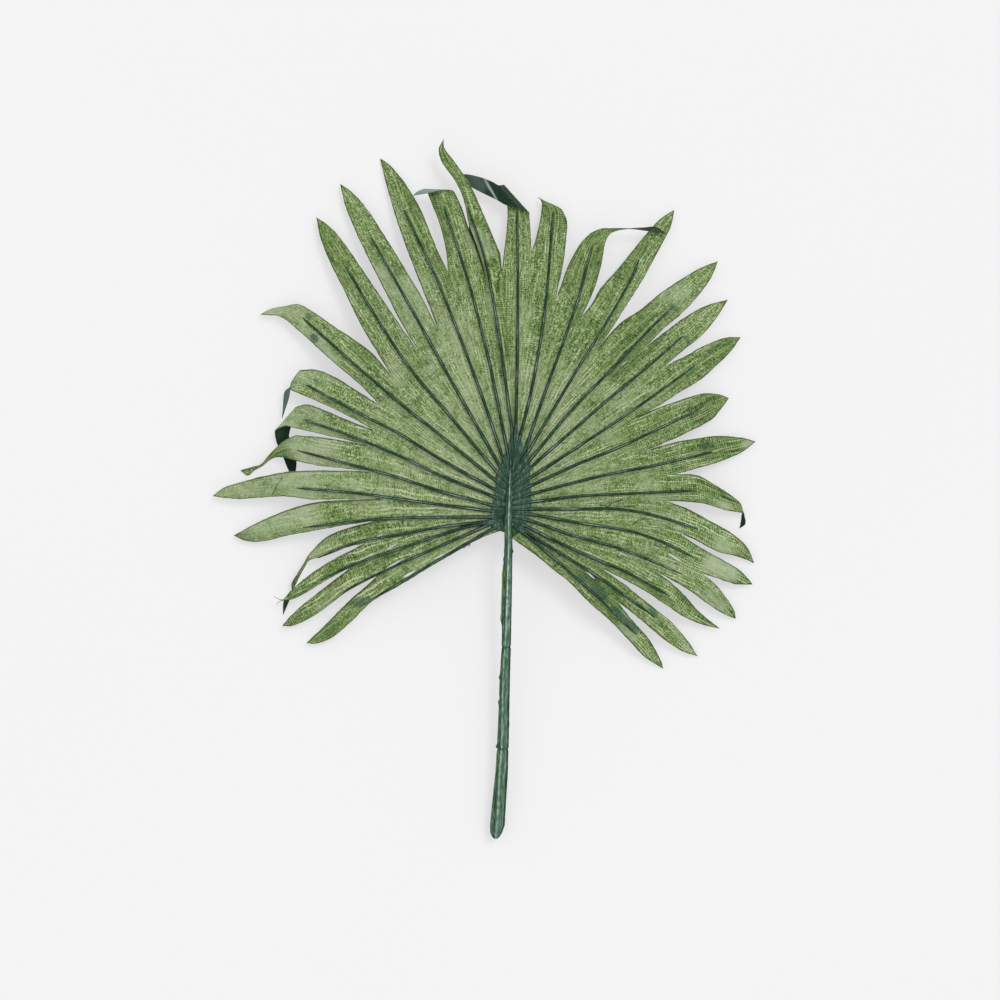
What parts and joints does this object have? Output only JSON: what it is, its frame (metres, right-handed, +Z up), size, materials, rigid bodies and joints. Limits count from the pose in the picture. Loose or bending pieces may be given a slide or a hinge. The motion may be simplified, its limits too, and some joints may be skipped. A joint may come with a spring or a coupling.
{
  "type": "artificial fan palm leaf",
  "caption": "Artificial fan palm leaf: a cut sheet of printed green fabric on a moulded stem, hub and spreading ribs, lying flat with its ribbed back up.",
  "frame": {"origin": "bottom centre of the box round the leaf, on the surface it lies on", "axes": "+Z up from the surface, out of the ribbed back; +Y from the stem's end towards the top leaflets; +X to the right seen from above"},
  "size_m": [0.2718, 0.35, 0.0164],
  "materials": {
    "printed_fabric": "woven, printed mottled green, with a darker glossier front",
    "moulded_plastic": "dark teal green, lightly glossy, moulded"
  },
  "bodies": {
    "root": {"leaf_blade": "printed_fabric", "rib_frame": "moulded_plastic"}
  },
  "joints": []
}
